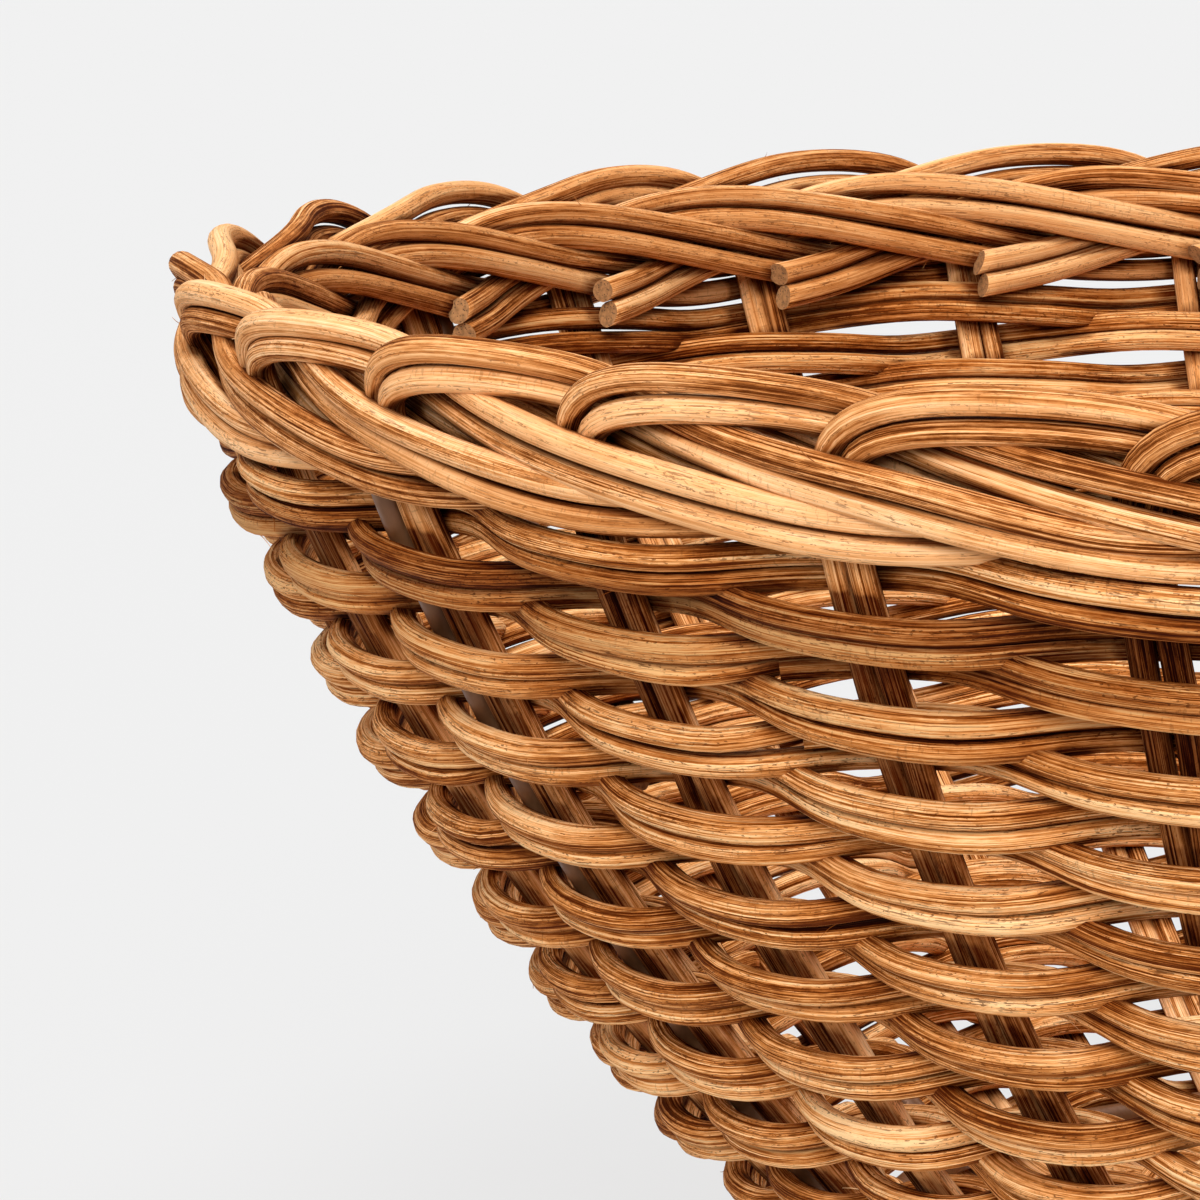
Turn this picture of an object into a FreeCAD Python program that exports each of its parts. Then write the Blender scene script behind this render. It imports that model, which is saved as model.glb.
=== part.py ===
"""Round handwoven rattan wastebasket: doubled rods, bowl-shaped wall, rolled rope border.

Millimetres, +Z up.  The origin is the middle of the footprint, at floor level.
A station is one of the equally spaced places round the basket where a pair of
upright stakes stands.  Stations are counted anticlockwise seen from above, and
station 0 is on the -Y side.
"""
import FreeCAD, Part
import math
import os

from FreeCAD import Vector

# ---- driving dimensions -------------------------------------------------------------
STATIONS = 30                 # pairs of upright stakes round the basket
ROD = 3.5                     # diameter of the stake rods, which also form the border
WEAVER = 3.2                  # diameter of the thinner weaving rods
WIRE = 4.0                    # diameter of the steel frame wire
STICK = 4.2                   # diameter of the base sticks
FOOT = 9.0                    # diameter of the cane bent into the foot ring
NAIL = 1.6                    # diameter of the nails that hold the foot ring

RIM_RADIUS = 183.6            # middle line of the border, level with the top course of weaving
WALL_TOP_RADIUS = 182.1       # stake line at the top course of weaving
WALL_TOP_LEAN = math.radians(24.6)   # how far the wall leans out from upright, at the top
WALL_CURVE = 330.0            # radius of the wall's bowl-shaped profile
COURSES = 22                  # rows of weaving, two rods in each
COURSE_PITCH = 6.46           # from one row to the next, measured down the wall
STROKE_TOP = 3.7              # how far a weaving rod stands out from the stake line
STROKE_FOOT = 4.4             # the same at the foot, where the stakes are closer
BUTT_GAP = 0.6                # between the two cut ends of one weaving rod
BORDER_LEAN = math.radians(11.0)     # the border stands more upright than the wall

UPRIGHTS = 6                  # steel uprights, one to every fifth station
FIRST_UPRIGHT = 1             # station of the first upright
FOOT_RADIUS = 90.0
FOOT_FLAT = 1.2               # depth of the flat that the foot ring stands on
NAILS = 15                    # one to every other base stick end
STICKS_ALONG_X = 7            # the lower layer of the crossed base sticks
STICKS_ALONG_Y = 8            # the upper layer; both layers fan out to STATIONS ends
STICK_SPACING = 4.8           # between neighbouring sticks where they cross
FAN_RADIUS = 33.0             # where the sticks reach their own radial lines
BASE_RADIUS = 79.5            # outermost ring of the base weaving
BASE_OUTER_RINGS = 11         # base weaving rods that pass over every second stick
BASE_CENTRE_RINGS = 3         # base weaving rods that pass over the sticks in threes
BASE_STROKE = 4.0             # how far the base weaving stands off the sticks' level

# The way of one pair of border rods round the rim.  Each point is
# (stations travelled, rod diameters outward, rod diameters above the top course).
BORDER_ROUTE = [
    (0.00, 0.00, 3.50),       # the stakes stand up behind the older outer strands
    (0.10, 0.70, 5.20),       # and come out
    (0.32, 0.90, 6.15),       # over the hook
    (0.70, 0.25, 6.20),       # along the top of the rim
    (1.08, -0.90, 5.55),      # inside the next hook
    (1.50, 0.10, 4.50),       # back out under that hook
    (2.00, 1.15, 3.70),       # down across the front of the second hook
    (2.60, 1.15, 2.60),
    (3.10, 0.80, 1.80),       # across the front of the third hook
    (3.52, -0.10, 1.85),      # in through the wall between two stakes
    (3.90, -1.50, 2.30),
    (4.45, -2.15, 3.40),      # up across the inside of the rim
    (5.05, -2.20, 4.60),
    (5.55, -1.60, 5.00),      # tucked under the top strands
    (6.00, -1.06, 3.80),      # down behind the newer inside strands
    (6.50, -1.10, 2.20),
    (6.80, -2.10, 1.45),      # out below them
    (7.05, -2.55, 1.15),      # to the cut end
]

# ---- derived ------------------------------------------------------------------------
STEP = 2.0 * math.pi / STATIONS
PAIR = 0.51 * ROD             # from the middle of a pair of stake rods to each rod
SMOOTH = 0.45                 # share of each run that a tangent arc takes
FOOT_TOP = FOOT - FOOT_FLAT
STICK_Z = FOOT_TOP + STICK / 2.0
STAKE_FOOT_Z = FOOT_TOP + ROD / 2.0
WALL_FOOT_Z = FOOT_TOP + 5.7
WALL_LENGTH = COURSES * COURSE_PITCH
WALL_FOOT_LEAN = WALL_TOP_LEAN + WALL_LENGTH / WALL_CURVE
WALL_FOOT_RADIUS = WALL_TOP_RADIUS - WALL_CURVE * (math.cos(WALL_TOP_LEAN) - math.cos(WALL_FOOT_LEAN))
WALL_TOP_Z = WALL_FOOT_Z + WALL_CURVE * (math.sin(WALL_FOOT_LEAN) - math.sin(WALL_TOP_LEAN))


# ---- geometry helpers ---------------------------------------------------------------
def polar(radius, angle, z):
    return Vector(radius * math.cos(angle), radius * math.sin(angle), z)


def station_angle(station):
    return station * STEP - math.pi / 2.0


def sideways(angle, distance):
    """A step along the circle at this angle."""
    return Vector(-math.sin(angle), math.cos(angle), 0.0) * distance


def wall(down, outward=0.0):
    """Radius and height of a point of the wall, `down` from the top course along the profile."""
    lean = WALL_TOP_LEAN + down / WALL_CURVE
    radius = WALL_TOP_RADIUS - WALL_CURVE * (math.cos(WALL_TOP_LEAN) - math.cos(lean))
    z = WALL_TOP_Z - WALL_CURVE * (math.sin(lean) - math.sin(WALL_TOP_LEAN))
    return radius + outward * math.cos(lean), z - outward * math.sin(lean)


def rim_point(station, outward, up):
    """A point of the border, measured outward from and up along the leaning rim."""
    radius = RIM_RADIUS + outward * math.cos(BORDER_LEAN) + up * math.sin(BORDER_LEAN)
    z = WALL_TOP_Z - outward * math.sin(BORDER_LEAN) + up * math.cos(BORDER_LEAN)
    return polar(radius, station_angle(station), z)


def rounded_path(points):
    """Straight runs through the points, joined by tangent arcs as large as the runs allow."""
    edges = []
    last = points[0]
    for before, corner, after in zip(points, points[1:], points[2:]):
        back = before - corner
        ahead = after - corner
        turn = math.pi - back.getAngle(ahead)
        reach = SMOOTH * min(back.Length, ahead.Length)
        radius = reach / math.tan(turn / 2.0)
        back.normalize()
        ahead.normalize()
        start = corner + back * reach
        end = corner + ahead * reach
        inward = (back + ahead).normalize()
        middle = corner + inward * (radius / math.cos(turn / 2.0) - radius)
        edges.append(Part.LineSegment(last, start).toShape())
        edges.append(Part.Arc(start, middle, end).toShape())
        last = end
    edges.append(Part.LineSegment(last, points[-1]).toShape())
    return Part.Wire(edges)


def rod(points, diameter):
    """A round rod along the points, with flat cut ends."""
    path = rounded_path(points)
    ring = Part.Wire(Part.makeCircle(diameter / 2.0, points[0], points[1] - points[0]))
    solid = path.makePipe(Part.Face(ring))
    expected = math.pi / 4.0 * diameter ** 2 * path.Length
    assert solid.isValid() and abs(solid.Volume / expected - 1.0) < 0.02
    return solid


def save(name, solids):
    shape = solids[0] if len(solids) == 1 else Part.makeCompound(solids)
    shape.exportStep("parts/" + name + ".step")


# ---- stakes and border --------------------------------------------------------------
def stake_rod(station, side):
    """One stake, from inside the base, up the wall and round the border to its cut end."""
    angle = station_angle(station)
    across = sideways(angle, side * PAIR)
    points = [polar(BASE_RADIUS + WEAVER, angle, STAKE_FOOT_Z) + across,
              polar(WALL_FOOT_RADIUS - 4.5, angle, STAKE_FOOT_Z) + across]
    for share in (0.92, 0.69, 0.46, 0.23, 0.0):
        radius, z = wall(share * WALL_LENGTH)
        points.append(polar(radius, angle, z) + across)
    spacing = RIM_RADIUS * STEP
    before = [(0.0, 0.0, 0.0)] + BORDER_ROUTE[:-1]
    after = BORDER_ROUTE[1:] + BORDER_ROUTE[-1:]
    for previous, knot, following in zip(before, BORDER_ROUTE, after):
        run = (following[0] - previous[0]) * spacing
        rise = (following[2] - previous[2]) * ROD
        length = math.hypot(run, rise)
        # the two rods lie side by side in the rim's surface, square to the way they run
        ahead = side * PAIR * rise / length / spacing
        up = -side * PAIR * run / length
        points.append(rim_point(station + knot[0] + ahead, knot[1] * ROD, knot[2] * ROD + up))
    return rod(points, ROD)


def build_stakes():
    for station in range(STATIONS):
        rods = [stake_rod(station, side) for side in (-1.0, 1.0)]
        save("stake_pair_%02d" % (station + 1), rods)


# ---- wall weaving -------------------------------------------------------------------
def weaver_rod(course, lane):
    """One weaving rod: once round, over one pair of stakes and under the next."""
    down = (course + lane) * COURSE_PITCH
    stroke = STROKE_TOP + (STROKE_FOOT - STROKE_TOP) * down / WALL_LENGTH
    corner = stroke / (1.0 - SMOOTH)
    butt = 7 * course + (0 if lane < 0.0 else 13)
    points = []
    for place in range(butt, butt + STATIONS):
        outside = (place + course) % 2 == 1
        radius, z = wall(down, corner if outside else -corner)
        points.append(polar(radius, station_angle(place), z))
    radius, z = wall(down)
    half_gap = 0.5 * BUTT_GAP / (radius * STEP)
    first = polar(radius, station_angle(butt - 0.5 + half_gap), z)
    final = polar(radius, station_angle(butt + STATIONS - 0.5 - half_gap), z)
    return rod([first] + points + [final], WEAVER)


def build_weaving():
    for course in range(COURSES):
        rods = [weaver_rod(course, lane) for lane in (-0.25, 0.25)]
        save("weaver_course_%02d" % (course + 1), rods)


# ---- base ---------------------------------------------------------------------------
def base_stick(place, cross_count, along, layer_z):
    """A stick that crosses the middle of the base straight and fans out at both ends."""
    offset = place * STICK_SPACING
    crossing = 0.5 * cross_count * STICK_SPACING + 1.0
    fan = place * STEP
    reach = FOOT_RADIUS + 3.3
    half = [Vector(crossing, offset, layer_z),
            polar(FAN_RADIUS, fan, STICK_Z),
            polar(reach, fan, STICK_Z)]
    mirrored = [Vector(-point.x, point.y, point.z) for point in reversed(half)]
    stick = rod(mirrored + half, STICK)
    stick.rotate(Vector(0, 0, 0), Vector(0, 0, 1), along)
    for nail in nails():
        stick = stick.cut(nail)
    return stick.Solids[0]


def base_sticks(count, cross_count, along, layer_z):
    middle = (count - 1) / 2.0
    return [base_stick(index - middle, cross_count, along, layer_z) for index in range(count)]


def base_ring(radius, strokes, phase):
    """A base weaving rod at one radius, rising and falling over the sticks."""
    corner = BASE_STROKE / (1.0 - SMOOTH)
    swing = 2.0 * math.pi / strokes
    start = station_angle(0.5)
    points = []
    for index in range(strokes):
        height = corner if (index + phase) % 2 == 0 else -corner
        points.append(polar(radius, start + index * swing, STICK_Z + height))
    half_gap = 0.5 * BUTT_GAP / radius
    first = polar(radius, start - 0.5 * swing + half_gap, STICK_Z)
    final = polar(radius, start - 0.5 * swing - half_gap, STICK_Z)
    return rod([first] + points + [final], WEAVER)


def build_base():
    save("base_sticks_lower", base_sticks(STICKS_ALONG_X, STICKS_ALONG_Y, 0.0, STICK_Z - STICK / 2.0))
    save("base_sticks_upper", base_sticks(STICKS_ALONG_Y, STICKS_ALONG_X, 90.0, STICK_Z + STICK / 2.0))
    pitch = WEAVER + 0.1
    radii = [BASE_RADIUS - ring * pitch for ring in range(BASE_OUTER_RINGS + BASE_CENTRE_RINGS)]
    save("base_weaving", [base_ring(radius, STATIONS, ring)
                          for ring, radius in enumerate(radii[:BASE_OUTER_RINGS])])
    save("base_centre_weaving", [base_ring(radius, STATIONS // 3, ring)
                                 for ring, radius in enumerate(radii[BASE_OUTER_RINGS:])])


# ---- steel frame and foot -----------------------------------------------------------
def upright(station):
    """A steel wire that stands close beside a pair of stakes, from the hoop to the border."""
    angle = station_angle(station)
    across = sideways(angle, -(PAIR + (ROD + WIRE) / 2.0 + 0.1))
    points = []
    for share in (1.02, 0.8, 0.6, 0.4, 0.2, 0.0):
        radius, z = wall(share * WALL_LENGTH)
        points.append(polar(radius, angle, z) + across)
    points.append(rim_point(station, 0.0, 2.4 * ROD) + across)
    return rod(points, WIRE)


def build_frame():
    radius, z = wall(WALL_LENGTH, -WIRE)
    save("frame_hoop", [Part.makeTorus(radius, WIRE / 2.0, Vector(0, 0, z))])
    spread = STATIONS // UPRIGHTS
    save("frame_uprights", [upright(FIRST_UPRIGHT + index * spread) for index in range(UPRIGHTS)])


def nails():
    """Nails driven up through the foot ring into every other base stick end."""
    length = STICK_Z + 0.8 - FOOT_FLAT
    places = [polar(FOOT_RADIUS, station_angle(2 * index + 0.5), FOOT_FLAT) for index in range(NAILS)]
    return [Part.makeCylinder(NAIL / 2.0, length, place) for place in places]


def build_foot():
    ring = Part.makeTorus(FOOT_RADIUS, FOOT / 2.0, Vector(0, 0, FOOT / 2.0 - FOOT_FLAT))
    width = 4.0 * FOOT_RADIUS
    below = Part.makeBox(width, width, FOOT, Vector(-width / 2.0, -width / 2.0, -FOOT))
    ring = ring.cut(below)
    for nail in nails():
        ring = ring.cut(nail)
    save("foot_ring", [ring])
    save("foot_nails", nails())


if __name__ == "__main__":
    os.makedirs("parts", exist_ok=True)
    build_stakes()
    build_weaving()
    build_base()
    build_frame()
    build_foot()
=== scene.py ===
import math

import bpy
import numpy as np
from mathutils.kdtree import KDTree
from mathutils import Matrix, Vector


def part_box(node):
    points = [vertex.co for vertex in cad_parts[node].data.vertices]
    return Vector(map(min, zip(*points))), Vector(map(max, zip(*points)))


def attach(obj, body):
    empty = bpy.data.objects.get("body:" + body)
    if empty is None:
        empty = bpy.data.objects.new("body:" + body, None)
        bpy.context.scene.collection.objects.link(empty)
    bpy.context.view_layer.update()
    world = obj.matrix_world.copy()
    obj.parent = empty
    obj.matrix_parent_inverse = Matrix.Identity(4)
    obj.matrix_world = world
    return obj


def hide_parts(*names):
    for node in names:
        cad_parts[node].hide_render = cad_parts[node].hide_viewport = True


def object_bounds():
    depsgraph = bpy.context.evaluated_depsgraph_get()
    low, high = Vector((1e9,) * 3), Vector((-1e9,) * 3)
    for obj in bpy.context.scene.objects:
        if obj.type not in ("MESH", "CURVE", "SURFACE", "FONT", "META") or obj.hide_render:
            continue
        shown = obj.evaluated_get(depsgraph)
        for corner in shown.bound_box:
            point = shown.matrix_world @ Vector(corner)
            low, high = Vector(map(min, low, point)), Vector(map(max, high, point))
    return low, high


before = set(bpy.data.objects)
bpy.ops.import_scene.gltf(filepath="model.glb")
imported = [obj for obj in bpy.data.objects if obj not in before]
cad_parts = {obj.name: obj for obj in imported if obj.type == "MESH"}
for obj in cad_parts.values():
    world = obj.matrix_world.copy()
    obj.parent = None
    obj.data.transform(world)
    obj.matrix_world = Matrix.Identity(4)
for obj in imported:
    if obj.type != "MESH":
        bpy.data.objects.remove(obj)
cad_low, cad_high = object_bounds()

# ---- the basket's plan, in metres, as the CAD frame has it ---------------------------
STATIONS = 30
COURSES = 22
ROD = 0.0035
WEAVER = 0.0032
WEAVER_SWELL = 0.00015  # makes the two rods of a row close up, as in the photo
STICK = 0.0042
WALL_TOP_RADIUS = 0.1821
RIM_RADIUS = 0.1836
WALL_TOP_LEAN = math.radians(24.6)
WALL_CURVE = 0.330
WALL_RISE = 0.0057  # from the top of the foot ring to the foot of the woven wall
COURSE_PITCH = 0.00646
STROKE_TOP = 0.0037
STROKE_FOOT = 0.0044
STAKE_BEND = 0.0045  # how far inside the wall's foot a stake starts to turn up
BORDER_LEAN = math.radians(11.0)
FOOT_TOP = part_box("foot_ring")[1].z
FOOT_RADIUS = 0.090
FOOT_CANE = 0.009
BASE_RADIUS = 0.0795
BASE_OUTER_RINGS = 11
BASE_CENTRE_RINGS = 3
BASE_STROKE = 0.0040
STICKS_ALONG_X = 7
STICKS_ALONG_Y = 8
STICK_SPACING = 0.0048
STICK_REACH = 0.0033  # how far the sticks pass the foot ring's middle
FAN_RADIUS = 0.033
RING_PITCH = WEAVER + 0.0001
RING_GAP = 0.0004
ROUND_STEP = 7  # stations from the ends of one round to the ends of the next
LANE_STEP = 13  # and from the ends of a row's upper rod to the ends of its lower rod
FOOT_CANE_GAP = 0.0003
FOOT_CANE_JOINT = math.radians(6.0)
FOOT_CANE_POINTS = 241

STEP = 2.0 * math.pi / STATIONS
PAIR = 0.51 * ROD
STICK_Z = FOOT_TOP + STICK / 2.0
STAKE_FOOT_Z = FOOT_TOP + ROD / 2.0
WALL_FOOT_Z = FOOT_TOP + WALL_RISE
WALL_LENGTH = COURSES * COURSE_PITCH
WALL_FOOT_LEAN = WALL_TOP_LEAN + WALL_LENGTH / WALL_CURVE
WALL_FOOT_RADIUS = (WALL_TOP_RADIUS
                    - WALL_CURVE * (math.cos(WALL_TOP_LEAN) - math.cos(WALL_FOOT_LEAN)))
WALL_TOP_Z = WALL_FOOT_Z + WALL_CURVE * (math.sin(WALL_FOOT_LEAN) - math.sin(WALL_TOP_LEAN))

# how the rods are meshed
STAKE_SIDES = 16
WEAVER_SIDES = 13
STICK_SIDES = 14
RING_SIDES = 12
FOOT_CANE_SIDES = 24
FIBRE_RINGS = 5
CUT_EDGE = 0.88  # a cut face's width as a share of the rod's, inside its rounded edge
ROD_FACE, CUT_FACE = 0, 1  # the material slots of every mesh of rods

# One pair's way round the rim: (stations travelled, rod diameters outward, rod diameters up)
BORDER_ROUTE = [
    (0.00, 0.00, 3.50), (0.10, 0.70, 5.20), (0.32, 0.90, 6.15), (0.70, 0.25, 6.20),
    (1.08, -0.90, 5.55), (1.50, 0.10, 4.50), (2.00, 1.15, 3.70), (2.60, 1.15, 2.60),
    (3.10, 0.80, 1.80), (3.52, -0.10, 1.85), (3.90, -1.50, 2.30), (4.45, -2.15, 3.40),
    (5.05, -2.20, 4.60), (5.55, -1.60, 5.00), (6.00, -1.06, 3.80), (6.50, -1.10, 2.20),
    (6.80, -2.10, 1.45), (7.05, -2.55, 1.15),
]


# ---- places on the basket ------------------------------------------------------------
def polar(radius, angle, z):
    return np.array([radius * math.cos(angle), radius * math.sin(angle), z])


def station_angle(station):
    return station * STEP - math.pi / 2.0


def sideways(angle, distance):
    return np.array([-math.sin(angle), math.cos(angle), 0.0]) * distance


def wall(down, outward):
    """Radius and height on the wall; works on numbers and on arrays."""
    lean = WALL_TOP_LEAN + down / WALL_CURVE
    radius = WALL_TOP_RADIUS - WALL_CURVE * (np.cos(WALL_TOP_LEAN) - np.cos(lean))
    z = WALL_TOP_Z - WALL_CURVE * (np.sin(lean) - np.sin(WALL_TOP_LEAN))
    return radius + outward * np.cos(lean), z - outward * np.sin(lean)


def rim_point(station, outward, up):
    radius = RIM_RADIUS + outward * math.cos(BORDER_LEAN) + up * math.sin(BORDER_LEAN)
    z = WALL_TOP_Z - outward * math.sin(BORDER_LEAN) + up * math.cos(BORDER_LEAN)
    return polar(radius, station_angle(station), z)


# ---- rods ----------------------------------------------------------------------------
def evenly(line, spacing):
    """The same line with its points evenly spaced."""
    lengths = np.linalg.norm(np.diff(line, axis=0), axis=1)
    along = np.concatenate([[0.0], np.cumsum(lengths)])
    count = max(3, int(round(along[-1] / spacing)) + 1)
    places = np.linspace(0.0, along[-1], count)
    return np.stack([np.interp(places, along, line[:, axis]) for axis in range(3)], axis=1)


def flowing(corners, spacing):
    """A smooth line guided by the corners, eased once more so that its bends run into each other."""
    corners = np.asarray(corners)
    points_per_bend = 16
    middles = 0.5 * (corners[1:] + corners[:-1])
    runs = []
    share = np.linspace(0.0, 1.0, points_per_bend, endpoint=False)[:, None]
    for index in range(1, len(corners) - 1):
        start = corners[0] if index == 1 else middles[index - 1]
        end = corners[-1] if index == len(corners) - 2 else middles[index]
        control = corners[index]
        runs.append(start * (1 - share) ** 2 + 2 * control * share * (1 - share) + end * share ** 2)
    line = evenly(np.vstack(runs + [corners[-1:]]), spacing)
    for _ in range(3):
        line[1:-1] = 0.25 * line[:-2] + 0.5 * line[1:-1] + 0.25 * line[2:]
    return line


def wander(rng, count, spacing, wavelength, size):
    """Slow random drift along a rod, one value for each of its points."""
    length = count * spacing
    knots = max(4, int(length / wavelength) + 3)
    values = rng.normal(0.0, size, knots)
    places = np.linspace(0.0, knots - 1.0, count)
    base = np.clip(places.astype(int), 0, knots - 2)
    share = places - base
    share = share * share * (3.0 - 2.0 * share)
    return values[base] * (1.0 - share) + values[base + 1] * share


class Bundle:
    """Rods gathered into one mesh, with what their material reads at each point.

    grain is the point on the rod as it was before it was bent: across, across, along.
    tone is one random number for each rod.
    The wear value is 1 where the rod is rubbed clean and lower where dirt stays; on the weavers it is
    lowest where they pass between the stakes, partly dirt and partly painted shade.
    shelter is how closely other rods hem the point in, 0 in the open and about 1 in a crevice, with the
    wall's painted shade added; it sets the painted shade in the colour.
    """

    def __init__(self, seed):
        self.rng = np.random.default_rng(seed)
        self.fibre_rng = np.random.default_rng(5000 + seed)
        self.points = []
        self.faces = []
        self.grain = []
        self.tone = []
        self.wear = []
        self.normals = []
        self.lines = []
        self.face_kinds = []
        self.count = 0
        self.recess_shade = 0.0  # how much painted shade its outer faces get behind the weaving

    def add(self, line, diameter, sides, slant=(0.0, 0.0), flute=0.03, wear=None, fibres=0.0,
            square=0.0):
        """One rod along the line, which has evenly spaced points.

        slant is how far each end is cut off square, flute how uneven the section is, square how
        flat its four sides are, and fibres how many have lifted on each metre.
        """
        rng = self.rng
        count = len(line)
        spacing = np.linalg.norm(line[1] - line[0])
        tangents = np.gradient(line, axis=0)
        tangents /= np.linalg.norm(tangents, axis=1)[:, None]
        normal = np.cross(tangents[0], [0.0, 0.0, 1.0])
        if np.linalg.norm(normal) < 0.2:
            normal = np.cross(tangents[0], [1.0, 0.0, 0.0])
        normals = np.zeros_like(line)
        for index in range(count):
            normal = normal - tangents[index] * np.dot(normal, tangents[index])
            normal = normal / np.linalg.norm(normal)
            normals[index] = normal
        crosses = np.cross(tangents, normals)
        turn = np.linspace(0.0, 2.0 * math.pi, sides, endpoint=False)
        along = np.arange(count) * spacing
        shape = np.ones((count, sides)) - square * np.cos(4.0 * turn)[None, :]
        for harmonic in (2, 3, 4, 5):
            phase = rng.uniform(0.0, 2.0 * math.pi) + wander(rng, count, spacing, 0.05, 0.5)
            size = flute * rng.uniform(0.3, 1.0) / math.sqrt(harmonic - 1.0)
            shape += size * np.cos(harmonic * turn[None, :] + phase[:, None])
        shape *= 1.0 + wander(rng, count, spacing, 0.02, 0.018)[:, None]
        radius = diameter / 2.0 * shape
        across = radius * np.cos(turn)[None, :]
        aside = radius * np.sin(turn)[None, :]
        shift = np.zeros((count, sides))
        reach = 0.8 * diameter
        for end, slope in ((0, slant[0]), (-1, slant[1])):
            distance = along if end == 0 else along[-1] - along
            fade = np.clip(1.0 - distance / reach, 0.0, 1.0)
            shift += fade[:, None] * slope * across
        out = across[..., None] * normals[:, None, :] + aside[..., None] * crosses[:, None, :]
        rings = line[:, None, :] + out + shift[..., None] * tangents[:, None, :]
        origin = rng.uniform(0.0, 40.0)
        section = diameter / 2.0 * np.stack([np.cos(turn), np.sin(turn)], axis=1)
        plain = np.broadcast_to(section, (count, sides, 2))
        lengthwise = np.broadcast_to(along[:, None, None] + origin, (count, sides, 1))
        grain = np.concatenate([plain, lengthwise], axis=2)
        first = self.count
        ids = first + np.arange(count * sides).reshape(count, sides)
        self.lines.append(line)
        self.points.append(rings.reshape(-1, 3))
        self.grain.append(grain.reshape(-1, 3))
        self.normals.append((out / np.linalg.norm(out, axis=2)[..., None]).reshape(-1, 3))
        self._skin(ids)
        self.count += count * sides
        for end in (0, -1):
            self._close(rings[end], grain[end], ids[end], end == 0)
            away = -tangents[0] if end == 0 else tangents[-1]
            self.normals.append(np.tile(away, (sides + 1, 1)))
        tone = rng.uniform(0.0, 1.0)
        self.tone.append(np.full(self.count - first, tone))
        worn = np.ones(count) if wear is None else wear
        ends = np.repeat([worn[0], worn[-1]], sides + 1)
        self.wear.append(np.concatenate([np.repeat(worn, sides), ends]))
        for _ in range(int(fibres * along[-1])):
            index = self.fibre_rng.integers(6, count - 8)
            root = (line[index], tangents[index], normals[index], crosses[index])
            self._fibre(root, diameter / 2.0, along[index] + origin, tone, worn[index])

    def _skin(self, ids):
        """Four-sided faces between each ring of points and the next."""
        after = np.roll(ids, -1, axis=1)
        quads = np.stack([ids[:-1], after[:-1], after[1:], ids[1:]], axis=2).reshape(-1, 4)
        self.faces.extend(quads.tolist())
        self.face_kinds.extend([ROD_FACE] * len(quads))

    def _fibre(self, root, radius, lengthwise, tone, worn):
        """A fine fibre that has lifted off the rod: a thin curved thread rooted in its surface."""
        rng = self.fibre_rng
        middle, tangent, normal, cross = root
        turn = rng.uniform(0.0, 2.0 * math.pi)
        out = math.cos(turn) * normal + math.sin(turn) * cross
        aside = np.cross(tangent, out)
        run = rng.choice((-1.0, 1.0)) * rng.uniform(0.0012, 0.0045)
        lift = rng.uniform(0.15, 0.60) * abs(run)
        bend = rng.uniform(-0.5, 0.5) * abs(run)
        share = np.linspace(0.0, 1.0, FIBRE_RINGS)[:, None]
        path = middle + 0.9 * radius * out + share * run * tangent
        path = path + share ** 2 * (lift * out + bend * aside)
        thickness = rng.uniform(0.00006, 0.00011) * (1.0 - 0.6 * share)
        corners = np.array([[1.0, 0.0], [-0.5, 0.87], [-0.5, -0.87]])
        thread = corners[:, :1] * out + corners[:, 1:] * aside
        rings = path[:, None, :] + thickness[:, None, :] * thread[None, :, :]
        count = FIBRE_RINGS * len(corners)
        ids = self.count + np.arange(count).reshape(FIBRE_RINGS, len(corners))
        self._skin(ids)
        self.faces.extend([ids[0, ::-1].tolist(), ids[-1].tolist()])
        self.face_kinds.extend([ROD_FACE, ROD_FACE])
        self.points.append(rings.reshape(-1, 3))
        self.normals.append(np.tile(out, (count, 1)))
        grain = [radius * math.cos(turn), radius * math.sin(turn), lengthwise]
        self.grain.append(np.tile(grain, (count, 1)))
        self.tone.append(np.full(count, tone))
        self.wear.append(np.full(count, worn))
        self.count += count

    def _close(self, ring, grain, ids, at_start):
        """A cut end: a slightly rounded edge, then the flat cut face."""
        middle = ring.mean(axis=0)
        inner = middle + (ring - middle) * CUT_EDGE
        sides = len(ids)
        rim = self.count + np.arange(sides)
        centre = self.count + sides
        self.points.append(np.vstack([inner, middle[None, :]]))
        self.grain.append(np.vstack([grain * [CUT_EDGE, CUT_EDGE, 1.0], [[0.0, 0.0, grain[0, 2]]]]))
        self.count += sides + 1
        after = np.roll(ids, -1)
        rim_after = np.roll(rim, -1)
        for side in range(sides):
            if at_start:
                self.faces.append([ids[side], rim[side], rim_after[side], after[side]])
                self.faces.append([rim[side], centre, rim_after[side]])
            else:
                self.faces.append([ids[side], after[side], rim_after[side], rim[side]])
                self.faces.append([rim[side], rim_after[side], centre])
            self.face_kinds.extend([CUT_FACE, CUT_FACE])

    def finished(self, name, rod_material, slot, node):
        """Keeps the bundle until every rod is in place: its painted shade depends on its neighbours."""
        self.name = name
        self.rod_material = rod_material
        self.piece_slot = slot
        self.node = node
        finished_bundles.append(self)

    def wall_shade(self):
        """Painted shade outside, behind the weaving (recess) and below the border, and inside near the
        rim.
        """
        points = np.vstack(self.points)
        normals = np.vstack(self.normals)
        outward = np.sum(points[:, :2] * normals[:, :2], axis=1)
        outward = outward / np.linalg.norm(points[:, :2], axis=1)
        depth = WALL_TOP_Z - points[:, 2]
        below_border = np.clip(depth / 0.004, 0.0, 1.0)
        near_border = np.clip(1.0 - depth / 0.030, 0.0, 1.0)
        # painted shade on the outer faces: behind the weaving, and the border's shadow on the rows just
        # below it
        outside = np.clip(outward + 0.3, 0.0, 1.0) * below_border * (self.recess_shade + 0.80 * near_border)
        near_top = np.clip(1.0 - depth / 0.060, 0.0, 1.0)
        # painted shade on the inside of the bowl, strongest near the rim
        return outside + 0.44 * near_top * np.clip(0.25 - outward, 0.0, 1.0)

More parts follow.
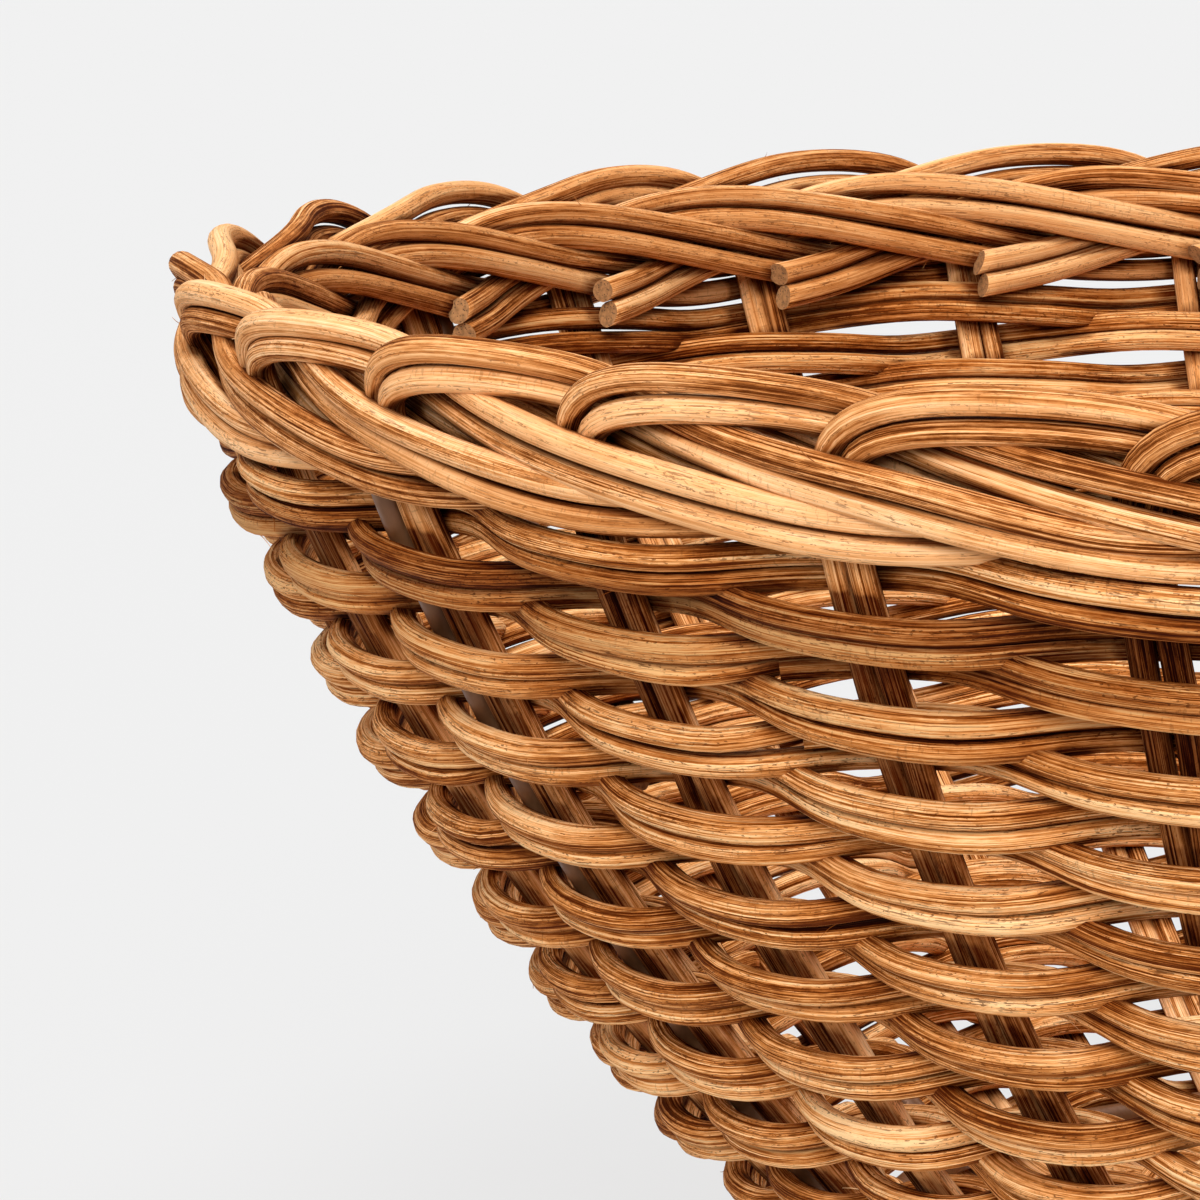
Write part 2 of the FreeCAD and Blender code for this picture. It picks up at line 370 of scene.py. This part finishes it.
    def build(self):
        """The mesh, its materials and attributes, and its place in the frame."""
        mesh = bpy.data.meshes.new(self.name)
        mesh.from_pydata(np.vstack(self.points).tolist(), [], self.faces)
        mesh.materials.append(self.rod_material)
        mesh.materials.append(pale_end)
        kinds = np.array(self.face_kinds, dtype=np.int32)
        mesh.polygons.foreach_set("material_index", kinds)
        mesh.polygons.foreach_set("use_smooth", kinds == ROD_FACE)
        grain = mesh.attributes.new("grain", "FLOAT_VECTOR", "POINT")
        grain.data.foreach_set("vector", np.vstack(self.grain).astype(np.float32).ravel())
        for name, values in (("tone", np.concatenate(self.tone)), ("wear", np.concatenate(self.wear)),
                             ("shelter", self.shelter)):
            attribute = mesh.attributes.new(name, "FLOAT", "POINT")
            attribute.data.foreach_set("value", values.astype(np.float32))
        mesh.update()
        piece = bpy.data.objects.new(self.name, mesh)
        bpy.context.scene.collection.objects.link(piece)
        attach(piece, "root")
        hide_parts(self.node)


finished_bundles = []


def find_shelter(bundles):
    """Looks a little way out from every point of every rod for the middle lines of other rods, and adds
    the wall's painted shade: together they set each point's painted shade.
    """
    look_out, reach, centre_spacing, weight = 0.0024, 0.0032, 0.001, 0.25
    centres = np.vstack([evenly(line, centre_spacing) for bundle in bundles for line in bundle.lines])
    tree = KDTree(len(centres))
    for index, centre in enumerate(centres.tolist()):
        tree.insert(centre, index)
    tree.balance()
    for bundle in bundles:
        probes = np.vstack(bundle.points) + look_out * np.vstack(bundle.normals)
        shelter = [weight * sum(1.0 - (distance / reach) ** 2
                                for _, _, distance in tree.find_range(probe, reach))
                   for probe in probes.tolist()]
        bundle.shelter = np.array(shelter) + bundle.wall_shade()


# ---- materials -----------------------------------------------------------------------
# Colour ramps, from the dark streaks to the clean rod, in linear red, green and blue.
STAKE_STOPS = [(0.00, (0.090, 0.018, 0.002)), (0.22, (0.32, 0.096, 0.018)),
               (0.45, (0.62, 0.255, 0.078)), (0.70, (0.88, 0.460, 0.200)), (1.00, (1.00, 0.66, 0.37))]
WEAVER_STOPS = [(0.00, (0.085, 0.014, 0.001)), (0.24, (0.26, 0.066, 0.009)),
                (0.48, (0.54, 0.192, 0.042)), (0.74, (0.85, 0.400, 0.146)), (1.00, (0.99, 0.64, 0.325))]
# the wire's brown: its own dull finish, and partly painted reflection of the warm rattan around it
STEEL_STOPS = [(0.30, (0.10, 0.038, 0.013)), (0.55, (0.17, 0.068, 0.024)), (0.80, (0.27, 0.130, 0.056))]
PORE_COLOUR = (0.11, 0.028, 0.005)
# painted shade: a warm tint near other rods, and a deep one in the crevices
SHADE_TINT = (0.76, 0.64, 0.49)
CREVICE_SHADE_TINT = (0.18, 0.075, 0.022)


class Nodes:
    """A material's node tree, with short ways to add and join nodes."""

    def __init__(self, name):
        self.material = bpy.data.materials.new(name)
        self.material.use_nodes = True
        self.tree = self.material.node_tree
        self.shader = self.tree.nodes["Principled BSDF"]

    def new(self, kind, **settings):
        node = self.tree.nodes.new(kind)
        for key, value in settings.items():
            setattr(node, key, value)
        return node

    def join(self, source, target):
        self.tree.links.new(source, target)

    def attribute(self, name):
        return self.new("ShaderNodeAttribute", attribute_name=name)

    def noise(self, vector, scale, detail=2.0, roughness=0.5):
        """Noise stretched by a different scale on each axis."""
        stretch = self.new("ShaderNodeMapping")
        stretch.inputs["Scale"].default_value = scale
        self.join(vector, stretch.inputs["Vector"])
        node = self.new("ShaderNodeTexNoise")
        node.inputs["Scale"].default_value = 1.0
        node.inputs["Detail"].default_value = detail
        node.inputs["Roughness"].default_value = roughness
        node.inputs["Distortion"].default_value = 0.0
        self.join(stretch.outputs["Vector"], node.inputs["Vector"])
        return node.outputs["Fac"]

    def span(self, value, low, high, to_low=0.0, to_high=1.0):
        """The value eased from one range into another."""
        node = self.new("ShaderNodeMapRange", interpolation_type="SMOOTHSTEP")
        node.inputs["From Min"].default_value = low
        node.inputs["From Max"].default_value = high
        node.inputs["To Min"].default_value = to_low
        node.inputs["To Max"].default_value = to_high
        self.join(value, node.inputs["Value"])
        return node.outputs["Result"]

    def sums(self, first, second, operation="ADD"):
        node = self.new("ShaderNodeMath", operation=operation)
        for socket, value in zip(node.inputs, (first, second)):
            if isinstance(value, (int, float)):
                socket.default_value = value
            else:
                self.join(value, socket)
        return node.outputs["Value"]

    def times(self, first, second):
        return self.sums(first, second, "MULTIPLY")

    def larger(self, first, second):
        return self.sums(first, second, "MAXIMUM")

    def ramp(self, value, stops):
        node = self.new("ShaderNodeValToRGB")
        elements = node.color_ramp.elements
        while len(elements) < len(stops):
            elements.new(0.5)
        for element, (place, colour) in zip(elements, stops):
            element.position = place
            element.color = (*colour, 1.0)
        self.join(value, node.inputs["Fac"])
        return node.outputs["Color"]

    def mix(self, share, first, second, blend="MIX"):
        node = self.new("ShaderNodeMix", data_type="RGBA", blend_type=blend)
        share_socket, first_colour, second_colour, colour_out = 0, 6, 7, 2
        for index, value in ((share_socket, share), (first_colour, first), (second_colour, second)):
            socket = node.inputs[index]
            if isinstance(value, (int, float)):
                socket.default_value = value
            elif isinstance(value, tuple):
                socket.default_value = (*value, 1.0)
            else:
                self.join(value, socket)
        return node.outputs[colour_out]

    def bump(self, height, strength, inverted=False):
        """Fine relief on the shader's own surface."""
        node = self.new("ShaderNodeBump", invert=inverted)
        node.inputs["Strength"].default_value = strength
        node.inputs["Distance"].default_value = 0.0003
        self.join(height, node.inputs["Height"])
        self.join(node.outputs["Normal"], self.shader.inputs["Normal"])


def rattan(name, stops, bias, contrast, clean, pores, bump):
    """Peeled rattan: brown streaks and fine fibres along the rod, short dark pores, clean stretches.

    bias is how light it is, contrast how strong its streaks are, clean how much weaker they are on
    a clean stretch, pores how dark the pores and cracks are, and bump how deep the relief is.
    """
    n = Nodes(name)
    grain = n.attribute("grain").outputs["Vector"]
    tone = n.attribute("tone").outputs["Fac"]
    wear = n.attribute("wear").outputs["Fac"]
    shelter = n.attribute("shelter").outputs["Fac"]
    place = n.new("ShaderNodeTexCoord").outputs["Object"]

    # streaks along the rod, from broad to very fine
    broad = n.span(n.noise(grain, (850.0, 850.0, 9.0), 2.0, 0.5), 0.36, 0.64)
    fine = n.span(n.noise(grain, (3100.0, 3100.0, 13.0), 3.0, 0.65), 0.38, 0.62)
    hair = n.span(n.noise(grain, (7000.0, 7000.0, 70.0), 3.0, 0.7), 0.40, 0.60)
    mottle = n.span(n.noise(grain, (1500.0, 1500.0, 260.0), 4.0, 0.7), 0.35, 0.65)
    streaks = n.sums(n.times(broad, 0.22), n.times(fine, 0.36))
    streaks = n.sums(streaks, n.times(hair, 0.26))
    streaks = n.sums(streaks, n.times(mottle, 0.16))

    # lightness: the streaks, weaker on clean stretches, then stains, the rod's own tone, and the wear
    # value, whose darker part is partly dirt and partly painted shade
    stretch = n.noise(grain, (170.0, 170.0, 11.0), 2.0, 0.5)
    stain = n.noise(place, (30.0, 30.0, 38.0), 3.0, 0.6)
    worn = n.span(n.sums(stretch, n.times(tone, 0.16)), 0.50, 0.68)
    depth = n.sums(contrast, n.times(worn, clean), "SUBTRACT")
    value = n.times(n.sums(streaks, 0.5, "SUBTRACT"), depth)
    value = n.sums(value, n.times(worn, 0.20))
    value = n.sums(value, n.times(n.sums(stain, 0.5, "SUBTRACT"), 0.60))
    value = n.sums(value, n.times(n.sums(tone, 0.5, "SUBTRACT"), 0.28))
    value = n.sums(value, n.span(wear, 0.0, 0.8, bias + 0.5 - 0.20, bias + 0.5))
    colour = n.ramp(value, stops)

    # dark pores and dashes in patches, fine cracks, and short marks across the rod
    contour = n.sums(n.noise(grain, (1900.0, 1900.0, 12.0), 2.0, 0.5), 0.5, "SUBTRACT")
    cracks = n.span(n.sums(contour, 0.0, "ABSOLUTE"), 0.0, 0.018, 1.0, 0.0)
    cracks = n.times(cracks, n.span(mottle, 0.25, 0.6))
    specks = n.noise(grain, (3900.0, 3900.0, 1300.0), 2.0, 0.5)
    dashes = n.noise(grain, (5200.0, 5200.0, 300.0), 2.0, 0.5)
    zones = n.span(n.noise(grain, (1000.0, 1000.0, 36.0), 3.0, 0.6), 0.44, 0.56)
    ticks = n.span(n.noise(grain, (700.0, 700.0, 1900.0), 2.0, 0.5), 0.58, 0.66)
    ticks = n.times(ticks, n.span(n.noise(grain, (300.0, 300.0, 45.0), 2.0, 0.5), 0.50, 0.60))
    holes = n.larger(n.span(dashes, 0.57, 0.63), n.span(specks, 0.60, 0.65))
    holes = n.times(holes, zones)
    holes = n.larger(holes, n.times(cracks, 0.75))
    holes = n.larger(holes, n.times(ticks, 0.45))
    colour = n.mix(n.times(holes, pores), colour, PORE_COLOUR)

    # painted shade near other rods, warm like light bounced between them, then deeper painted shade in
    # the crevices
    colour = n.mix(n.span(shelter, 0.03, 0.55), colour, SHADE_TINT, "MULTIPLY")
    crevice_shade = n.times(n.span(shelter, 0.30, 0.95), n.span(streaks, 0.25, 0.75, 1.0, 0.72))
    colour = n.mix(crevice_shade, colour, CREVICE_SHADE_TINT, "MULTIPLY")
    n.join(colour, n.shader.inputs["Base Color"])

    relief = n.sums(n.times(fine, 0.40), n.times(hair, 0.25))
    relief = n.sums(relief, n.times(broad, 0.55))
    relief = n.sums(relief, n.times(mottle, 0.20))
    n.bump(relief, bump)
    n.join(n.span(fine, 0.0, 1.0, 0.78, 0.60), n.shader.inputs["Roughness"])
    n.shader.inputs["Specular IOR Level"].default_value = 0.03
    return n.material


def cut_end(name, pale, dark):
    """The end grain of a rattan rod: pale, with small dark pores."""
    n = Nodes(name)
    grain = n.attribute("grain").outputs["Vector"]
    scale = n.new("ShaderNodeMapping")
    scale.inputs["Scale"].default_value = (2600.0, 2600.0, 0.0)
    n.join(grain, scale.inputs["Vector"])
    cells = n.new("ShaderNodeTexVoronoi")
    cells.inputs["Scale"].default_value = 1.0
    n.join(scale.outputs["Vector"], cells.inputs["Vector"])
    dots = n.span(cells.outputs["Distance"], 0.16, 0.34, 1.0, 0.0)
    rough = n.noise(grain, (1500.0, 1500.0, 20.0), 3.0)
    body = n.mix(n.span(rough, 0.35, 0.7), pale, tuple(0.55 * channel for channel in pale))
    n.join(n.mix(n.times(dots, 0.85), body, dark), n.shader.inputs["Base Color"])
    n.bump(dots, 0.5, inverted=True)
    n.join(n.span(rough, 0.3, 0.7, 0.72, 0.9), n.shader.inputs["Roughness"])
    return n.material


def steel(name):
    """Plain drawn wire: faint lengthwise drawing marks and dull stains, its brown partly its own finish
    and partly painted reflection of the rattan around it.
    """
    n = Nodes(name)
    place = n.new("ShaderNodeTexCoord").outputs["Object"]
    cloud = n.noise(place, (180.0, 180.0, 60.0), 4.0, 0.65)
    marks = n.noise(place, (1400.0, 1400.0, 90.0), 2.0, 0.6)
    colour = n.ramp(cloud, STEEL_STOPS)
    n.join(colour, n.shader.inputs["Base Color"])
    n.shader.inputs["Metallic"].default_value = 0.35
    n.join(n.span(marks, 0.3, 0.7, 0.34, 0.52), n.shader.inputs["Roughness"])
    return n.material


stake_rattan = rattan("stake_rattan_grain", STAKE_STOPS, bias=-0.06, contrast=1.40, clean=0.85,
                      pores=0.60, bump=0.40)
weaver_rattan = rattan("weaver_rattan_grain", WEAVER_STOPS, bias=0.00, contrast=1.55, clean=0.30,
                       pores=0.80, bump=0.50)
base_rattan = rattan("base_rattan_grain", WEAVER_STOPS, bias=0.08, contrast=1.35, clean=0.35,
                     pores=0.80, bump=0.50)
foot_cane = rattan("foot_cane_grain", STAKE_STOPS, bias=0.05, contrast=1.10, clean=0.40,
                   pores=0.60, bump=0.40)
pale_end = cut_end("rattan_end_grain", pale=(0.36, 0.165, 0.055), dark=(0.035, 0.010, 0.003))
wire_steel = steel("drawn_wire")


# ---- stakes and border ---------------------------------------------------------------
def stake_line(station, side):
    """One rod of a pair: from the base up the wall and round the border. side is -1 or 1."""
    angle = station_angle(station)
    across = sideways(angle, side * PAIR)
    corners = [polar(BASE_RADIUS + WEAVER, angle, STAKE_FOOT_Z) + across,
               polar(WALL_FOOT_RADIUS - STAKE_BEND, angle, STAKE_FOOT_Z) + across]
    for share in (0.92, 0.69, 0.46, 0.23, 0.0):
        radius, z = wall(share * WALL_LENGTH, 0.0)
        corners.append(polar(radius, angle, z) + across)
    spacing = WALL_TOP_RADIUS * STEP
    before = [(0.0, 0.0, 0.0)] + BORDER_ROUTE[:-1]
    after = BORDER_ROUTE[1:] + BORDER_ROUTE[-1:]
    for previous, knot, following in zip(before, BORDER_ROUTE, after):
        run = (following[0] - previous[0]) * spacing
        rise = (following[2] - previous[2]) * ROD
        length = math.hypot(run, rise)
        ahead = side * PAIR * rise / length / spacing
        up = -side * PAIR * run / length
        corners.append(rim_point(station + knot[0] + ahead, knot[1] * ROD, knot[2] * ROD + up))
    return flowing(corners, spacing=0.0022)


def drift(rng, line, wavelength, size):
    """A rod's own small wandering off its line, nothing at its two ends."""
    count = len(line)
    spacing = np.linalg.norm(line[1] - line[0])
    from_end = np.minimum(np.arange(count), np.arange(count)[::-1]) * spacing
    fade = np.minimum(1.0, from_end / 0.02)
    moves = np.stack([wander(rng, count, spacing, wavelength, size) for _ in range(3)], axis=1)
    return line + moves * fade[:, None]


for index in range(STATIONS):
    bundle = Bundle(100 + index)
    for side in (-1.0, 1.0):
        line = drift(bundle.rng, stake_line(index, side), wavelength=0.03, size=0.00022)
        bundle.add(line, ROD, STAKE_SIDES, slant=(0.0, bundle.rng.uniform(-0.7, 0.7)), fibres=16.0)
    # painted shade on the stakes' outer faces where the weaving hems them in
    bundle.recess_shade = 0.55
    bundle.finished("stake_rods_%02d" % (index + 1), stake_rattan, "stake_rattan",
                    "stake_pair_%02d" % (index + 1))


# ---- wall weaving --------------------------------------------------------------------
def weaver_line(rng, course, lane):
    """One rod once round, over one pair of stakes and under the next, its ends crossing inside.

    lane is its place across the row, in rows. The second value is how far in or out it swings.
    """
    start = ROUND_STEP * course + (0 if lane < 0.0 else LANE_STEP)
    if (start + course) % 2 == 1:
        start += 1
    overlap = 0.42
    place = np.linspace(start - overlap, start + STATIONS + overlap, STATIONS * 12)
    swing = -np.cos(np.pi * (place + course))
    spacing = WALL_TOP_RADIUS * STEP * STATIONS / len(place)
    row = course * COURSE_PITCH
    shrink = row / WALL_LENGTH
    stroke = STROKE_TOP + (STROKE_FOOT - STROKE_TOP) * shrink
    dip = 0.0011 * (1.0 - 0.35 * shrink)
    down = (course + lane) * COURSE_PITCH + dip * np.cos(np.pi * (place + course) + 0.30 * np.pi)
    down = down + wander(rng, len(place), spacing, 0.05, 0.00028)
    outward = stroke * (0.55 * swing + 0.45 * np.sin(0.5 * np.pi * swing))
    outward = outward + wander(rng, len(place), spacing, 0.035, 0.00022)
    tail = np.clip((place - (start + STATIONS - 0.75)) / 0.5, 0.0, 1.0)
    outward = outward - 1.02 * WEAVER * tail * tail * (3.0 - 2.0 * tail)
    radius, z = wall(down, outward)
    angle = station_angle(place)
    return np.stack([radius * np.cos(angle), radius * np.sin(angle), z], axis=1), swing


for course in range(COURSES):
    bundle = Bundle(300 + course)
    for lane in (-0.25, 0.25):
        line, swing = weaver_line(bundle.rng, course, lane)
        # the weavers darken where they pass between the stakes: partly dirt, partly painted shade
        bundle.add(line, WEAVER + WEAVER_SWELL, WEAVER_SIDES, slant=(0.4, -0.4), flute=0.040,
                   wear=np.abs(swing), fibres=14.0, square=0.045)
    bundle.finished("weaving_row_%02d" % (course + 1), weaver_rattan, "weaver_rattan",
                    "weaver_course_%02d" % (course + 1))


# ---- base ----------------------------------------------------------------------------
def stick_line(place, cross_count, along, layer_z):
    """One base stick: straight over the crossing, then fanned out to the edge on both sides.

    place counts from the middle stick, cross_count is how many sticks it crosses, and along is
    the direction of its layer.
    """
    offset = place * STICK_SPACING
    crossing = 0.5 * cross_count * STICK_SPACING + 0.001
    fan = place * STEP
    half = [np.array([crossing, offset, layer_z]), polar(FAN_RADIUS, fan, STICK_Z),
            polar(FOOT_RADIUS + STICK_REACH, fan, STICK_Z)]
    mirrored = [point * [-1.0, 1.0, 1.0] for point in reversed(half)]
    corners = np.array(mirrored + half)
    turn = np.array([[math.cos(along), math.sin(along), 0.0],
                     [-math.sin(along), math.cos(along), 0.0], [0.0, 0.0, 1.0]])
    return flowing(corners @ turn, spacing=0.003)


def ring_line(rng, radius, strokes, phase, start):
    """One round of the base, woven over one stick and under the next, closing below a stick."""
    place = start + 1.5 - phase + np.linspace(0.0, strokes, strokes * 10)
    angle = station_angle(0.5) + (place - 0.5) * 2.0 * math.pi / strokes
    angle = angle[0] + (angle - angle[0]) * (1.0 - RING_GAP / (2.0 * math.pi * radius))
    level = STICK_Z + BASE_STROKE * np.cos(np.pi * (place - 0.5 + phase))
    reach = radius + wander(rng, len(place), spacing=0.002, wavelength=0.03, size=0.0001)
    reach[-1] = reach[0]
    return np.stack([reach * np.cos(angle), reach * np.sin(angle), level], axis=1)


def build_sticks(seed, name, count, cross_count, along, layer_z, node):
    bundle = Bundle(seed)
    middle = (count - 1) / 2.0
    for index in range(count):
        bundle.add(stick_line(index - middle, cross_count, along, layer_z), STICK, STICK_SIDES)
    bundle.finished(name, base_rattan, "base_rattan", node)


build_sticks(401, "base_sticks_lower_rods", STICKS_ALONG_X, STICKS_ALONG_Y, 0.0,
             STICK_Z - STICK / 2.0, "base_sticks_lower")
build_sticks(402, "base_sticks_upper_rods", STICKS_ALONG_Y, STICKS_ALONG_X, math.pi / 2.0,
             STICK_Z + STICK / 2.0, "base_sticks_upper")
for first, rings, strokes, node in (
        (0, BASE_OUTER_RINGS, STATIONS, "base_weaving"),
        (BASE_OUTER_RINGS, BASE_CENTRE_RINGS, STATIONS // 3, "base_centre_weaving")):
    bundle = Bundle(410 + first)
    for ring in range(rings):
        start = 2.0 * (ROUND_STEP * ring % (strokes // 2))
        radius = BASE_RADIUS - (first + ring) * RING_PITCH
        line = ring_line(bundle.rng, radius, strokes, phase=ring, start=start)
        bundle.add(evenly(line, 0.002), WEAVER, RING_SIDES)
    bundle.finished(node + "_rods", base_rattan, "base_rattan", node)

# ---- foot ring: one bent cane, flat below ----------------------------------------------
bundle = Bundle(430)
low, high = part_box("foot_ring")
full_turn = 2.0 * math.pi - FOOT_CANE_GAP / FOOT_RADIUS
angle = np.linspace(0.0, full_turn, FOOT_CANE_POINTS) + FOOT_CANE_JOINT
centre_z = np.full(FOOT_CANE_POINTS, high.z - FOOT_CANE / 2.0)
line = np.stack([FOOT_RADIUS * np.cos(angle), FOOT_RADIUS * np.sin(angle), centre_z], axis=1)
bundle.add(line, FOOT_CANE, FOOT_CANE_SIDES, slant=(1.3, 1.3), flute=0.01)
for points in bundle.points:
    points[:, 2] = np.maximum(points[:, 2], low.z)
bundle.finished("foot_ring_cane", foot_cane, "foot_cane", "foot_ring")

find_shelter(finished_bundles)
for bundle in finished_bundles:
    bundle.build()

# ---- steel stays as the CAD has it -----------------------------------------------------
for node in ("frame_hoop", "frame_uprights", "foot_nails"):
    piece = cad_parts[node]
    piece.data.materials.clear()
    piece.data.materials.append(wire_steel)

# ---- floor, light and camera -----------------------------------------------------------
floor_look = Nodes("pale_floor")
floor_look.shader.inputs["Base Color"].default_value = (0.09, 0.09, 0.09, 1.0)
floor_look.shader.inputs["Roughness"].default_value = 0.9
floor_look.shader.inputs["Specular IOR Level"].default_value = 0.1
floor_look.shader.inputs["Emission Color"].default_value = (1.0, 1.0, 1.0, 1.0)
floor_look.shader.inputs["Emission Strength"].default_value = 0.72
plane = bpy.data.meshes.new("floor")
reach = 30.0
plane.from_pydata([(-reach, -reach, 0.0), (reach, -reach, 0.0), (reach, reach, 0.0),
                   (-reach, reach, 0.0)], [], [(0, 1, 2, 3)])
plane.materials.append(floor_look.material)
floor = bpy.data.objects.new("floor", plane)
bpy.context.scene.collection.objects.link(floor)
floor.visible_diffuse = False

# the world by height: warm and bright from below, an even grey from the horizon up
world = bpy.data.worlds.new("studio")
world.use_nodes = True
sky = world.node_tree
direction = sky.nodes.new("ShaderNodeTexCoord")
split = sky.nodes.new("ShaderNodeSeparateXYZ")
height = sky.nodes.new("ShaderNodeMapRange")
height.inputs["From Min"].default_value = -1.0
height.inputs["From Max"].default_value = 1.0
shade = sky.nodes.new("ShaderNodeValToRGB")
shade.color_ramp.elements[0].position = 0.0
shade.color_ramp.elements[0].color = (0.92, 0.80, 0.66, 1.0)
shade.color_ramp.elements[1].position = 1.0
shade.color_ramp.elements[1].color = (0.52, 0.52, 0.52, 1.0)
for level_at, level in ((0.42, 0.62), (0.497, 0.46)):
    stop = shade.color_ramp.elements.new(level_at)
    stop.color = (level, level, level, 1.0)
sky.links.new(direction.outputs["Generated"], split.inputs["Vector"])
sky.links.new(split.outputs["Z"], height.inputs["Value"])
sky.links.new(height.outputs["Result"], shade.inputs["Fac"])
sky.links.new(shade.outputs["Color"], sky.nodes["Background"].inputs["Color"])
sky.nodes["Background"].inputs["Strength"].default_value = 1.0
bpy.context.scene.world = world


def soft_sun(name, azimuth, elevation, spread, strength):
    """Even light from one side of the room; azimuth 0 comes from -Y and grows towards +X."""
    lamp = bpy.data.lights.new(name, "SUN")
    lamp.angle = math.radians(spread)
    lamp.energy = strength
    holder = bpy.data.objects.new(name, lamp)
    bpy.context.scene.collection.objects.link(holder)
    holder.rotation_euler = (math.radians(90.0 - elevation), 0.0, math.radians(azimuth))


soft_sun("front_light", azimuth=4.0, elevation=26.0, spread=30.0, strength=3.1)
soft_sun("top_light", azimuth=10.0, elevation=66.0, spread=25.0, strength=1.4)
soft_sun("back_light", azimuth=150.0, elevation=50.0, spread=45.0, strength=0.8)

# the camera stands in front, a little above the rim, and is turned left of the basket's middle
camera_azimuth = math.radians(4.0)
camera_distance = 1.0588
camera_above_rim = 0.0975
camera_down = 7.87
camera_left = math.radians(7.27)
camera = bpy.data.cameras.new("camera")
camera.sensor_width = 36.0
camera.lens = 235.7
viewer = bpy.data.objects.new("camera", camera)
bpy.context.scene.collection.objects.link(viewer)
viewer.location = (camera_distance * math.sin(camera_azimuth),
                   -camera_distance * math.cos(camera_azimuth), cad_high.z + camera_above_rim)
viewer.rotation_euler = (math.radians(90.0 - camera_down), 0.0, camera_azimuth + camera_left)
camera.clip_start = 0.05
camera.clip_end = 100.0
bpy.context.scene.camera = viewer
bpy.context.scene.view_settings.view_transform = "Standard"
